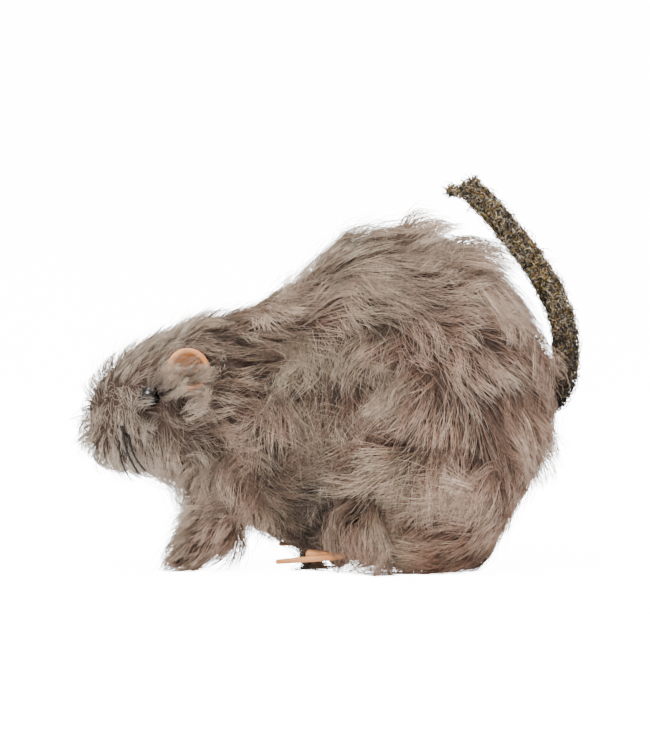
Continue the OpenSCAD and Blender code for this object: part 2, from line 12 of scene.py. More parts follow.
import bpy
import numpy as np
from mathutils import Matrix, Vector


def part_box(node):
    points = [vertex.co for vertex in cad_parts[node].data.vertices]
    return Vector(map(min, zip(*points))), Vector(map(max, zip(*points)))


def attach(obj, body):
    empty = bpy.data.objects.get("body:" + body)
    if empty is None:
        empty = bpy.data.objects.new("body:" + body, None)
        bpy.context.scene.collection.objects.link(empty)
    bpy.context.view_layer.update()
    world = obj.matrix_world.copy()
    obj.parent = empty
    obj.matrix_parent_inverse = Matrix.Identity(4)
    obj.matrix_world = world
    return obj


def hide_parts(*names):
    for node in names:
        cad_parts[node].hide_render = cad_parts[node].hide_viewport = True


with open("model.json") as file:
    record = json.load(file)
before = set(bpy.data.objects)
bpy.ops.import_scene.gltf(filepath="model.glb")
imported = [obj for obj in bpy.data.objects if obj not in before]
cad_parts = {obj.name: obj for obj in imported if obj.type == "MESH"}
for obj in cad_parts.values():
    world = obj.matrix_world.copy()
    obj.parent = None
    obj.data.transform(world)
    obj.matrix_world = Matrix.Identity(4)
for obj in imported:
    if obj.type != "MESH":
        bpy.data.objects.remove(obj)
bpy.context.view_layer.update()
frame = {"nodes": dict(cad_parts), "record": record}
nodes = frame["nodes"]
BODY = "mouse_body"
MM = 0.001
print("parts in the frame:", len(nodes))

# %% [markdown]
# ## Where things are
# The floor is the lowest point of the wheels. The face, ear and key are found from their own nodes,
# so the pile can part around them.

# %% Landmarks
def middle(node):
    lo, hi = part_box(node)
    return (np.array(lo) + np.array(hi)) / 2


floor_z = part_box("tyre_left")[0][2]
nose_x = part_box("fur_head")[0][0]
rump_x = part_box("fur_left")[1][0]
ear_mid = middle("ear_left")
ear_r = (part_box("ear_left")[1][2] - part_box("ear_left")[0][2]) / 2
ear_face = abs(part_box("ear_left")[0][1])
eye_mid = middle("eye_left")
eye_face = abs(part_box("eye_left")[0][1])
key_mid = middle("winding_arbor")
foot_lo, foot_hi = (np.array(c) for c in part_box("hind_foot_left"))
node_boxes = [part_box(node) for node in nodes]
MID_X = 0.5 * (min(lo[0] for lo, hi in node_boxes) + max(hi[0] for lo, hi in node_boxes))
print("length of the body in mm:", round((rump_x - nose_x) / MM, 1))


# Places on the mouse are easiest to say from the floor, with X measured from the middle of its box
def from_floor(x, z):
    """Turns millimetres from the middle and the floor into the frame's metres."""
    return np.array([MID_X + x * MM, floor_z + z * MM])


def x_at(x):
    return float(MID_X + x * MM)


def z_at(z):
    return float(floor_z + z * MM)


# %% [markdown]
# ## Camera, floor and light
# The mouse is seen square on from its left, from only a little above, through a long lens. A pale
# sweep runs under and behind it. Broad lights from the front, above and behind leave hardly any shadow.

# %% Camera
VIEW_HEIGHT = 178.5 * MM
DISTANCE = 0.75
ELEVATION = math.radians(1.8)
SENSOR = 36
aim = from_floor(-1.9, 45.3)
cam_data = bpy.data.cameras.new("camera")
cam_data.lens = SENSOR * DISTANCE / VIEW_HEIGHT
camera = bpy.data.objects.new("camera", cam_data)
bpy.context.scene.collection.objects.link(camera)
target = Vector((aim[0], 0, aim[1]))
camera.location = target + DISTANCE * Vector((0, -math.cos(ELEVATION), math.sin(ELEVATION)))
camera.rotation_euler = (target - camera.location).to_track_quat("-Z", "Y").to_euler()
bpy.context.scene.camera = camera
print("lens in mm:", round(cam_data.lens))


# %% Mesh and object helpers
def add_mesh(name, verts, faces):
    """A mesh object from whole arrays: verts is (n, 3), and faces is a list of (m, 3) or (m, 4) arrays."""
    mesh = bpy.data.meshes.new(name)
    sizes = np.concatenate([np.full(len(f), f.shape[1]) for f in faces])
    corners = np.concatenate([f.ravel() for f in faces])
    mesh.vertices.add(len(verts))
    mesh.vertices.foreach_set("co", np.ascontiguousarray(verts, dtype=np.float32).ravel())
    mesh.loops.add(len(corners))
    mesh.loops.foreach_set("vertex_index", corners.astype(np.int32))
    mesh.polygons.add(len(sizes))
    mesh.polygons.foreach_set("loop_start", (np.cumsum(sizes) - sizes).astype(np.int32))
    mesh.update(calc_edges=True)
    mesh.validate()
    mesh.shade_smooth()
    obj = bpy.data.objects.new(name, mesh)
    bpy.context.scene.collection.objects.link(obj)
    return obj


def store(obj, name, values):
    """Keeps one colour for each vertex, for a material to read."""
    layer = obj.data.color_attributes.new(name, "FLOAT_COLOR", "POINT")
    rgba = np.ones((len(values), 4), dtype=np.float32)
    rgba[:, :values.shape[1]] = values
    layer.data.foreach_set("color", rgba.ravel())


# %% Floor and lights
# How brightly the backdrop glows where it is seen, and how strongly the world lights the mouse
BACKDROP_GLOW, WORLD_LIGHT = 14.0, 0.6
FLOOR = 1.6
BEND = 0.35
quarter = np.linspace(0, np.pi / 2, 33)
profile = np.concatenate([
    np.stack([np.linspace(-FLOOR, FLOOR - BEND, 12), np.zeros(12)], 1),
    np.stack([FLOOR - BEND + BEND * np.sin(quarter), BEND - BEND * np.cos(quarter)], 1)[1:],
    np.array([[FLOOR, 1.5]]),
])
wide = np.array([-2.2, 2.2])
sweep_v = np.stack([
    np.repeat(wide, len(profile)), np.tile(profile[:, 0], 2), np.tile(profile[:, 1], 2) + floor_z
], 1)
k = np.arange(len(profile) - 1)
sweep_f = np.stack([k, k + len(profile), k + len(profile) + 1, k + 1], 1)
sweep = add_mesh("studio_sweep", sweep_v, [sweep_f])


def soft_light(name, at, size, power, colour=(1, 1, 1)):
    data = bpy.data.lights.new(name, "AREA")
    data.shape = "RECTANGLE"
    data.size, data.size_y = size
    data.energy = power
    data.color = colour
    lamp = bpy.data.objects.new(name, data)
    bpy.context.scene.collection.objects.link(lamp)
    lamp.location = at
    lamp.rotation_euler = (Vector((0, 0, 0.04)) - Vector(at)).to_track_quat("-Z", "Y").to_euler()
    return lamp


soft_light("key_light", (-0.45, -0.70, 1.0), (0.5, 0.5), 21, (1.0, 0.965, 0.91))
soft_light("top_light", (0.1, 0.15, 1.15), (1.0, 0.8), 15.5, (1.0, 0.985, 0.95))
soft_light("front_fill", (0.5, -1.3, 0.35), (1.2, 0.8), 3.5)
soft_light("back_light", (0.2, 1.2, 0.6), (1.6, 1.0), 5)
world = bpy.data.worlds.new("studio")
bpy.context.scene.world = world
world.use_nodes = True
world.node_tree.nodes["Background"].inputs["Color"].default_value = (1, 1, 1, 1)
# What the world gives the object is soft. What shows above the sweep is as bright as the sweep itself
ray = world.node_tree.nodes.new("ShaderNodeLightPath")
strength = world.node_tree.nodes.new("ShaderNodeMapRange")
strength.inputs["To Min"].default_value = WORLD_LIGHT
strength.inputs["To Max"].default_value = BACKDROP_GLOW
world.node_tree.links.new(ray.outputs["Is Camera Ray"], strength.inputs["Value"])
world.node_tree.links.new(strength.outputs["Result"], world.node_tree.nodes["Background"].inputs["Strength"])


# %% [markdown]
# ## Finishes
# Each material is built from noise in the object's own coordinates, so that no two spots are quite the
# same. Helpers keep the recipes short.

# %% Material helpers
class Recipe:
    """A material under construction."""

    def __init__(self, name, roughness=0.5, metallic=0.0, **sockets):
        self.mat = bpy.data.materials.new(name)
        self.mat.use_nodes = True
        self.tree = self.mat.node_tree
        self.shader = self.tree.nodes["Principled BSDF"]
        self.shader.inputs["Roughness"].default_value = roughness
        self.shader.inputs["Metallic"].default_value = metallic
        for key, value in sockets.items():
            self.shader.inputs[key.replace("_", " ")].default_value = value
        self.place = self.add("ShaderNodeTexCoord").outputs["Object"]

    def add(self, kind, **settings):
        node = self.tree.nodes.new(kind)
        for key, value in settings.items():
            setattr(node, key, value)
        return node

    def link(self, a, b):
        self.tree.links.new(a, b)

    def noise(self, scale, detail=4.0, rough=0.55):
        """Noise with features of the given size in metres."""
        node = self.add("ShaderNodeTexNoise")
        node.inputs["Scale"].default_value = 1 / scale
        node.inputs["Detail"].default_value = detail
        node.inputs["Roughness"].default_value = rough
        self.link(self.place, node.inputs["Vector"])
        return node.outputs["Fac"]

    def placed(self, effect, **sizes):
        """Outputs of a shared effect, with the size in metres of some of its layers changed."""
        node = self.add("ShaderNodeGroup", node_tree=effect)
        self.link(self.place, node.inputs["Vector"])
        for layer, size in sizes.items():
            node.inputs[layer + " Scale"].default_value = 1 / size
        return node.outputs

    def ramp(self, value, stops, mode="LINEAR"):
        """Colours laid along a value: stops is a list of (place, linear colour)."""
        node = self.add("ShaderNodeValToRGB")
        node.color_ramp.interpolation = mode
        band = node.color_ramp.elements
        while len(band) < len(stops):
            band.new(0.5)
        for element, (place, colour) in zip(band, stops):
            element.position = place
            element.color = (*colour, 1) if len(colour) == 3 else colour
        self.link(value, node.inputs["Fac"])
        return node.outputs["Color"]

    def mix(self, factor, a, b, mode="MIX"):
        node = self.add("ShaderNodeMix", data_type="RGBA", blend_type=mode)
        for socket, value in ((node.inputs["Factor"], factor), (node.inputs[6], a), (node.inputs[7], b)):
            if isinstance(value, (int, float)):
                socket.default_value = value
            elif isinstance(value, tuple):
                socket.default_value = (*value, 1)
            else:
                self.link(value, socket)
        return node.outputs[2]

    def spread(self, value, low, high, start=0.0, end=1.0):
        """Maps a value from start..end to low..high."""
        node = self.add("ShaderNodeMapRange")
        node.inputs["From Min"].default_value = start
        node.inputs["From Max"].default_value = end
        node.inputs["To Min"].default_value = low
        node.inputs["To Max"].default_value = high
        self.link(value, node.inputs["Value"])
        return node.outputs["Result"]

    def math(self, operation, a, b=0.0):
        node = self.add("ShaderNodeMath", operation=operation)
        for socket, value in zip(node.inputs, (a, b)):
            if isinstance(value, (int, float)):
                socket.default_value = value
            else:
                self.link(value, socket)
        return node.outputs["Value"]

    def attribute(self, name):
        """The red, green and blue channels of a stored colour."""
        source = self.add("ShaderNodeAttribute", attribute_name=name)
        split = self.add("ShaderNodeSeparateColor")
        self.link(source.outputs["Color"], split.inputs["Color"])
        return split.outputs["Red"], split.outputs["Green"], split.outputs["Blue"]

    def bump(self, height, depth):
        node = self.add("ShaderNodeBump")
        node.inputs["Distance"].default_value = depth
        node.inputs["Strength"].default_value = 1.0
        self.link(height, node.inputs["Height"])
        self.link(node.outputs["Normal"], self.shader.inputs["Normal"])

    def colour(self, value):
        self.link(value, self.shader.inputs["Base Color"])

    def rough(self, value):
        self.link(value, self.shader.inputs["Roughness"])


def linear(r, g, b):
    """A linear colour from the 0 to 255 values that a colour card gives."""
    c = np.array([r, g, b]) / 255
    return tuple(np.where(c <= 0.04045, c / 12.92, ((c + 0.055) / 1.055) ** 2.4))


# %% Effects that several finishes share
def shared_effect(name, layers):
    """A node group of noise layers. Each has the size of its features in metres, a detail and a stretch."""
    tree = bpy.data.node_groups.new(name, "ShaderNodeTree")
    tree.interface.new_socket("Vector", in_out="INPUT", socket_type="NodeSocketVector")
    source, sink = tree.nodes.new("NodeGroupInput"), tree.nodes.new("NodeGroupOutput")
    for layer, (size, detail, stretch) in layers.items():
        scale = tree.interface.new_socket(layer + " Scale", in_out="INPUT", socket_type="NodeSocketFloat")
        scale.default_value = 1 / size
        tree.interface.new_socket(layer, in_out="OUTPUT", socket_type="NodeSocketFloat")
        mapping = tree.nodes.new("ShaderNodeMapping")
        mapping.inputs["Scale"].default_value = stretch
        noise = tree.nodes.new("ShaderNodeTexNoise")
        noise.inputs["Detail"].default_value = detail
        noise.inputs["Roughness"].default_value = 0.55
        tree.links.new(source.outputs["Vector"], mapping.inputs["Vector"])
        tree.links.new(mapping.outputs["Vector"], noise.inputs["Vector"])
        tree.links.new(source.outputs[layer + " Scale"], noise.inputs["Scale"])
        tree.links.new(noise.outputs["Fac"], sink.inputs[layer])
    return tree


EVEN, DRAWN = (1, 1, 1), (1, 12, 1)
moulded_skin = shared_effect("moulded_skin", {
    "Drift": (7 * MM, 3, EVEN), "Gloss": (3 * MM, 5, EVEN), "Grain": (0.35 * MM, 2, EVEN)})
drawn_metal = shared_effect("drawn_metal", {"Lines": (1.2 * MM, 4, DRAWN), "Handling": (4 * MM, 4, EVEN)})
print("shared effects:", len(bpy.data.node_groups))


# %% Plastics, metals and rubber
def moulded(name, dark, light, grain=0.35 * MM, roughness=(0.38, 0.55), depth=0.02 * MM, **sockets):
    """Injection-moulded plastic: a slow drift of colour, fine orange peel and slightly uneven gloss."""
    r = Recipe(name, **sockets)
    skin = r.placed(moulded_skin, Grain=grain)
    r.colour(r.ramp(skin["Drift"], [(0.3, dark), (0.7, light)]))
    r.rough(r.spread(skin["Gloss"], *roughness, 0.3, 0.7))
    r.bump(skin["Grain"], depth)
    return r.mat


def metal(name, dark, light, roughness=(0.25, 0.42), depth=0.008 * MM):
    """Rolled or turned metal: fine drawn lines, and duller, darker patches where it has been handled."""
    r = Recipe(name, metallic=1.0)
    skin = r.placed(drawn_metal)
    r.colour(r.mix(r.spread(skin["Handling"], 0, 1, 0.35, 0.65), dark, light))
    r.rough(r.spread(skin["Lines"], *roughness, 0.3, 0.7))
    r.bump(skin["Lines"], depth)
    return r.mat


sweep_mat = Recipe("studio_white", roughness=0.9, Emission_Color=(1, 1, 1, 1))
seen = sweep_mat.add("ShaderNodeLightPath").outputs["Is Camera Ray"]
sweep_mat.link(sweep_mat.spread(seen, 0.25, BACKDROP_GLOW), sweep_mat.shader.inputs["Emission Strength"])
paper = sweep_mat.noise(0.5, 2)
sweep_mat.colour(sweep_mat.ramp(paper, [(0.3, (0.90, 0.90, 0.90)), (0.7, (0.93, 0.93, 0.93))]))
sweep.data.materials.append(sweep_mat.mat)

flesh = moulded("flesh_plastic", linear(202, 128, 72), linear(226, 160, 104), Subsurface_Weight=0.12,
                Subsurface_Scale=0.6 * MM)
shell_mat = moulded("shell_plastic", linear(52, 42, 36), linear(66, 54, 46), roughness=(0.5, 0.7))
hub_mat = moulded("hub_plastic", linear(206, 196, 174), linear(226, 217, 198))
bead_mat = moulded("bead_glass", linear(9, 7, 7), linear(20, 14, 12), roughness=(0.16, 0.3),
                   depth=0.004 * MM, Coat_Weight=0.25, Coat_Roughness=0.12)
bristle_mat = moulded("nylon_bristle", linear(6, 5, 5), linear(16, 14, 14), roughness=(0.55, 0.75),
                      depth=0.01 * MM)
tyre_mat = moulded("tyre_rubber", linear(24, 23, 23), linear(40, 39, 38), grain=0.2 * MM,
                   roughness=(0.7, 0.9), depth=0.03 * MM)
steel = metal("turned_steel", linear(150, 152, 155), linear(205, 206, 208))
spring_mat = metal("blued_spring_steel", linear(58, 66, 92), linear(110, 116, 134))
brass = metal("stamped_brass", linear(176, 138, 66), linear(228, 194, 116))
plated = metal("plated_steel", linear(168, 168, 166), linear(226, 226, 224), roughness=(0.18, 0.34))

finishes = {"shell": shell_mat, "flesh": flesh, "bead": bead_mat, "bristle": bristle_mat, "steel": steel,
            "spring": spring_mat, "brass": brass, "plate": plated, "hub": hub_mat, "tyre": tyre_mat}
for part in frame["record"]["subparts"]:
    if part["material_slot"] in finishes:
        solid = nodes[part["node"]]
        solid.data.materials.clear()
        solid.data.materials.append(finishes[part["material_slot"]])

# %% [markdown]
# ## The coat
# The plush is a cloth backing with a long pile. On the real mouse the cloth is cut in panels, sewn, and
# glued over the shell, and the pile is brushed back. Here each panel's outside is taken from its CAD
# node and sunk by about a third of the pile's length to make the cloth. Thousands of tapered hairs
# then stand on it. A hair leaves the cloth steeply and bends over until it lies along the brushing
# direction. Hairs near each other share a lock: their tips draw together, and the whole lock
# waves and leans in its own way.

# %% How the pile is brushed
# Each row is a place on the side of the body and the way the hair lies there:
# X from the middle, height above the floor (both in millimetres), then how far back and how far up
BRUSHED = np.array([
    [-57, 38, 0.1, 0.9], [-57, 32, -0.4, -0.8], [-54, 27, 0.3, -0.9], [-53, 42, 0.3, 0.9],
    [-51, 49, 0.4, 0.9], [-47, 42, 0.8, 0.35], [-50, 35, -0.1, -1.0], [-45, 36, 0.5, -0.9],
    [-46, 29, 0.15, -1.0], [-40, 26, 0.6, -0.9], [-44, 53, 0.9, 0.5], [-40, 48, 0.9, 0.5],
    [-38, 42, 0.9, 0.35], [-36, 35, 0.6, -0.9], [-33, 28, 0.35, -1.0], [-33, 20, -0.35, -1.0],
    [-30, 41, 0.9, -0.3], [-26, 50, 1.0, -0.1], [-33, 58, 1.0, 0.3], [-27, 34, 0.55, -0.9],
    [-26, 24, -0.1, -1.0], [-22, 58, 1.0, -0.1], [-21, 44, 0.5, -0.9], [-20, 34, 0.2, -1.0],
    [-18, 26, 0.7, -0.7], [-15, 62, 1.0, 0.1], [-13, 50, 0.3, -1.0], [-13, 38, 0.2, -1.0],
    [-11, 28, 0.8, -0.5], [-12, 20, 0.9, -0.4], [-8, 12, 0.6, -0.7], [-5, 68, 0.9, 0.4],
    [-3, 58, 0.5, -0.8], [0, 46, -0.1, -1.0], [-1, 34, -0.3, -1.0], [-1, 24, -0.3, -1.0],
    [6, 74, 1.0, 0.4], [9, 64, 0.9, -0.5], [12, 54, 0.2, -1.0], [11, 42, -0.3, -0.9],
    [5, 30, -0.2, -1.0], [3, 18, -0.25, -1.0], [4, 9, -0.5, -0.9], [10, 8, -0.9, -0.4],
    [16, 80, 1.0, 0.1], [22, 70, 1.0, -0.3], [24, 55, 0.6, -0.8], [20, 38, -0.5, -0.8],
    [16, 24, -0.6, -0.8], [18, 6, -0.95, -0.2], [28, 77, 1.0, -0.2], [34, 66, 0.9, -0.6],
    [36, 50, 0.4, -0.9], [32, 34, -0.4, -0.9], [28, 20, -0.8, -0.6], [30, 8, -1.0, -0.15],
    [37, 12, -1.0, -0.2],
    [42, 62, 0.8, -0.6], [47, 50, 0.6, -0.8], [50, 40, 0.8, -0.6], [46, 28, -0.45, -0.9],
    [41, 18, -0.95, -0.3], [40, 38, -0.1, -1.0],
])
REACH = 6.5 * MM
# Crowns, where the pile turns round a point: X, height, turning strength, radius in millimetres
CROWNS = np.array([[31, 60, 1.3, 8.0], [27, 21, 1.5, 6.5], [-9, 24, 1.1, 6.0], [4, 66, 0.6, 9.0],
                   [8, 45, 1.0, 7.0], [-15, 32, -1.0, 8.0], [-41, 33, -0.7, 6.0]])
# The pile also swirls at random: the length of each set of waves in millimetres, and its turn in radians
SWIRLS = ((30, 0.38), (17, 0.42), (10, 0.30))


def swirl(p):
    """A turn that drifts smoothly over the coat: crossed sine waves of a few lengths, added together."""
    rng = np.random.default_rng(5)
    turn = np.zeros(len(p))
    for length, strength in SWIRLS:
        for _ in range(3):
            course = rng.normal(size=3)
            course *= 2 * np.pi / (length * MM * np.linalg.norm(course))
            turn += 0.6 * strength * np.sin(p @ course + rng.uniform(0, 2 * np.pi))
    return turn


def brushing(p, n):
    """The unit direction in which the pile lies at points p with outward normals n."""
    place = np.stack([MID_X + BRUSHED[:, 0] * MM, floor_z + BRUSHED[:, 1] * MM], 1)
    gap = p[:, None, [0, 2]] - place[None]
    weight = np.exp(-(gap ** 2).sum(-1) / (2 * REACH ** 2)) + 1e-9
    way = (weight[..., None] * BRUSHED[None, :, 2:]).sum(1) / weight.sum(1)[:, None]
    for x, z, turn, radius in CROWNS:
        off = p[:, [0, 2]] - from_floor(x, z)
        near = np.exp(-(off ** 2).sum(1) / (2 * (radius * MM) ** 2))[:, None]
        way = way + turn * near * np.stack([off[:, 1], -off[:, 0]], 1) / (radius * MM)
    full = np.stack([way[:, 0], 0 * way[:, 0], way[:, 1]], 1)
    full[:, 2] -= 0.15
    full -= n * (full * n).sum(1)[:, None]
    full /= np.maximum(np.linalg.norm(full, axis=1), 1e-6)[:, None]
    x = (p[:, 0] - MID_X) / MM
    turn = (swirl(p) * np.interp(x, [-50, -36, -20], [0.35, 0.6, 1.0]))[:, None]
    return full * np.cos(turn) + np.cross(n, full) * np.sin(turn)


PILE_AT = [-58, -52, -44, -34, -20, 10, 40, 52]
PILE_MM = [3.4, 5.6, 8.0, 10.5, 13.5, 15.5, 14.5, 11.0]


def pile_length(p):
    """Length of the pile: short on the muzzle, long on the body, clipped round the eye, ear and key."""
    x = (p[:, 0] - MID_X) / MM
    length = np.interp(x, PILE_AT, PILE_MM) * MM
    side = np.abs(p[:, 1])
    eye_gap = np.hypot(p[:, 0] - eye_mid[0], p[:, 2] - eye_mid[2])
    length = np.where(side > 0.5 * eye_face, length * np.clip(0.30 + eye_gap / (11 * MM), 0, 1), length)
    off_x, off_z = p[:, 0] - ear_mid[0], p[:, 2] - ear_mid[2]
    ear_gap = np.hypot(off_x, off_z)
    above = off_x + 1.4 * off_z > -0.35 * ear_r
    clip = np.clip(0.25 + (ear_gap - ear_r) / (9 * MM), 0.25, 1)
    length = np.where((side > 0.5 * ear_face) & above, length * clip, length)
    key_gap = np.hypot(p[:, 0] - key_mid[0], p[:, 2] - key_mid[2])
    return np.where(p[:, 1] > 15 * MM, length * np.clip(key_gap / (14 * MM), 0.3, 1), length)


def sunk(p):
    """How far below the panel's face the cloth lies: a third of the pile, and never down to the shell."""
    near_floor = np.clip((p[:, 2] - floor_z) / (13 * MM), 0.15, 1)
    return np.minimum(0.32 * pile_length(p), 4.2 * MM) * near_floor


HOLLOW_DEPTH = 3.0 * MM


def hollow(p):
    """How deep in the fold between the foreleg and the haunch a point is, from 0 to 1: the coat sinks there,
    and the pile there is darkened with painted shade.
    """
    off = p[:, [0, 2]] - from_floor(-5.5, 13.5)
    return np.exp(-(off[:, 0] / (9.5 * MM)) ** 2 - (off[:, 1] / (9.5 * MM)) ** 2)


def painted_eye_shade(p):
    """How near the eye a point on the outside of the head is, from 0 to 1: the pile there is darkened with
    painted shade.
    """
    off = p[:, [0, 2]] - (eye_mid + np.array([-0.6, 0, -0.4]) * MM)[[0, 2]]
    near = np.exp(-(off[:, 0] / (3.4 * MM)) ** 2 - (off[:, 1] / (2.6 * MM)) ** 2)
    return np.where(np.abs(p[:, 1]) > 0.5 * eye_face, near, 0)


# %% Outside of a CAD panel
def outside(node):
    """Vertices, outward normals and triangles of the side of a panel that shows."""
    mesh = nodes[node].data
    mesh.calc_loop_triangles()
    v = np.empty(len(mesh.vertices) * 3, dtype=np.float32)
    mesh.vertices.foreach_get("co", v)
    t = np.empty(len(mesh.loop_triangles) * 3, dtype=np.int32)
    mesh.loop_triangles.foreach_get("vertices", t)
    v, back = np.unique(np.round(v.reshape(-1, 3), 6), axis=0, return_inverse=True)
    t = back.ravel()[t].reshape(-1, 3)
    a, b, c = (v[t[:, i]] for i in range(3))
    area = np.cross(b - a, c - a)
    size = np.linalg.norm(area, axis=1)
    t, area, size = t[size > 0], area[size > 0], size[size > 0]
    mid = v[t].mean(1)
    core = mid.copy()
    core[:, 0] = np.clip(mid[:, 0], nose_x + 12 * MM, rump_x - 14 * MM)
    core[:, 1] = core_y(node)
    core[:, 2] = core_z(node)
    out = mid - core
    out /= np.linalg.norm(out, axis=1)[:, None]
    facing = (out * area).sum(1) / size
    under = (area[:, 2] / size < -0.9) & (mid[:, 2] < floor_z + 7 * MM)
    keep = (facing > 0.3) & ~under
    t, area = t[keep], area[keep]
    n = np.zeros_like(v)
    for i in range(3):
        np.add.at(n, t[:, i], area)
    used, t = np.unique(t, return_inverse=True)
    n = n[used]
    n /= np.maximum(np.linalg.norm(n, axis=1), 1e-12)[:, None]
    return v[used], n, t.reshape(-1, 3)


def core_y(node):
    """The middle line across: the body's own, or the limb's."""
    lo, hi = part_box(node)
    limb = "haunch" in node or "foreleg" in node
    return 0.5 * (lo[1] + hi[1]) * (0.55 if "haunch" in node else 1.0) if limb else 0.0


def core_z(node):
    lo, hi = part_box(node)
    limb = "haunch" in node or "foreleg" in node
    return 0.5 * (lo[2] + hi[2]) if limb else floor_z + 34 * MM


# %% Growing hair
share = 1.0
RINGS = np.array([0.0, 0.22, 0.45, 0.68, 0.87])
SIDES = 3
A_HAIR = 2 * SIDES * (len(RINGS) - 1) + SIDES + 1  # triangles in one hair


def tubes(path, width, tips):
    """Closed tapered tubes: path is (n, rings, 3), width is (n, rings), and tips are their (n, 3) ends."""
    n, rings = width.shape
    ahead = np.concatenate([path[:, 1:], tips[:, None]], 1) - path
    ahead /= np.maximum(np.linalg.norm(ahead, axis=2), 1e-9)[..., None]
    side = np.cross(ahead, np.array([0.31, 0.17, 0.93]))
    side /= np.maximum(np.linalg.norm(side, axis=2), 1e-9)[..., None]
    up = np.cross(side, ahead)
    turn = 2 * np.pi * np.arange(SIDES) / SIDES
    round_ = side[:, :, None] * np.cos(turn)[:, None] + up[:, :, None] * np.sin(turn)[:, None]
    verts = path[:, :, None] + width[:, :, None, None] * round_
    verts = np.concatenate([verts.reshape(n, -1, 3), tips[:, None]], 1)
    each = rings * SIDES + 1
    ring, s = np.meshgrid(np.arange(rings - 1), np.arange(SIDES), indexing="ij")
    a, b = ring * SIDES + s, ring * SIDES + (s + 1) % SIDES
    quads = np.stack([a, b, b + SIDES, a + SIDES], -1).reshape(-1, 4)[:, ::-1]
    s = np.arange(SIDES)
    last = (rings - 1) * SIDES
    tris = np.stack([last + (s + 1) % SIDES, last + s, np.full(SIDES, each - 1)], 1)
    tris = np.concatenate([tris, [[0, 1, 2]]])
    start = (np.arange(n) * each)[:, None, None]
    return verts.reshape(-1, 3), [(start + quads).reshape(-1, 4), (start + tris).reshape(-1, 3)], each


def scatter(v, n, t, count, rng):
    """Random points spread evenly over triangles, with their smooth normals."""
    a, b, c = (v[t[:, i]] for i in range(3))
    size = np.linalg.norm(np.cross(b - a, c - a), axis=1)
    pick = rng.choice(len(t), count, p=size / size.sum())
    u, w = rng.random((2, count))
    flip = u + w > 1
    u[flip], w[flip] = 1 - u[flip], 1 - w[flip]
    w0 = 1 - u - w
    mix = lambda x: w0[:, None] * x[t[pick, 0]] + u[:, None] * x[t[pick, 1]] + w[:, None] * x[t[pick, 2]]
    normal = mix(n)
    return mix(v), normal / np.linalg.norm(normal, axis=1)[:, None]


def nearest(p, centres):
    """Index of the nearest centre to each point, worked out in blocks."""
    best = np.empty(len(p), dtype=int)
    for i in range(0, len(p), 2000):
        gap = p[i:i + 2000, None] - centres[None]
        best[i:i + 2000] = (gap ** 2).sum(-1).argmin(1)
    return best


def bend(root, n, way, length, lift, wave, phase, at):
    """Points at fractions "at" along hairs that rise from the cloth, bend over along "way", and wave."""
    t = at[None, :, None]
    across = np.cross(n, way)[:, None]
    run = length[:, None, None] * t * (0.66 + 0.34 * t)
    rise = lift[:, None, None] * t * (1.9 - 0.9 * t)
    sag = run ** 2 / (2 * 42 * MM)
    swing = 5.2 * t + phase[:, None, None]
    sway = wave[:, None, None] * (np.sin(swing) - np.sin(phase)[:, None, None]) * np.sqrt(t)
    hop = 0.35 * wave[:, None, None] * t * np.cos(swing * 1.3)
    return root[:, None] + way[:, None] * run + n[:, None] * (rise - sag + hop) + across * sway


FOOT_BARE = 13 * MM


def keep_clear(points):
    """Hair rests on the floor, and doesn't hang over the front of the foot."""
    low = np.full(points.shape[:-1], floor_z + 0.15 * MM)
    over_foot = (points[..., 0] > foot_lo[0] - 1 * MM) & (points[..., 0] < foot_lo[0] + FOOT_BARE)
    over_foot &= np.abs(points[..., 1]) > 19.8 * MM
    low = np.where(over_foot, foot_hi[2] + 0.1 * MM, low)
    points[..., 2] = np.maximum(points[..., 2], low)
    return points


# How much the lean differs from lock to lock, from wisp to wisp and from hair to hair
LEAN = (0.30, 0.22, 0.12)
# Guard hairs: their share of the pile, and how far they stand above it, in millimetres
GUARD_SHARE, GUARD_LIFT = 0.10, (0.5, 3.2)
# On a foreleg the pile is this much shorter, and stands this much higher
LEG_PILE, LEG_LIFT = 0.6, 1.5 * MM
NOSE_LIFT = 2.2 * MM
HAIRS_A_LOCK = 95
HAIRS_A_WISP = 11
THICKNESS = np.array([0.062, 0.066, 0.060, 0.050, 0.032]) * MM


def hidden(root, node):
    """Which points of the body's coat lie under a haunch, where pile would never be seen."""
    if node not in ("fur_left", "fur_right"):
        return np.zeros(len(root), dtype=bool)
    lo, hi = (np.array(c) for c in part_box(node.replace("fur_", "fur_haunch_")))
    off = (root - (lo + hi) / 2) / ((hi - lo) / 2)
    return off[:, 0] ** 2 + off[:, 2] ** 2 < 0.72


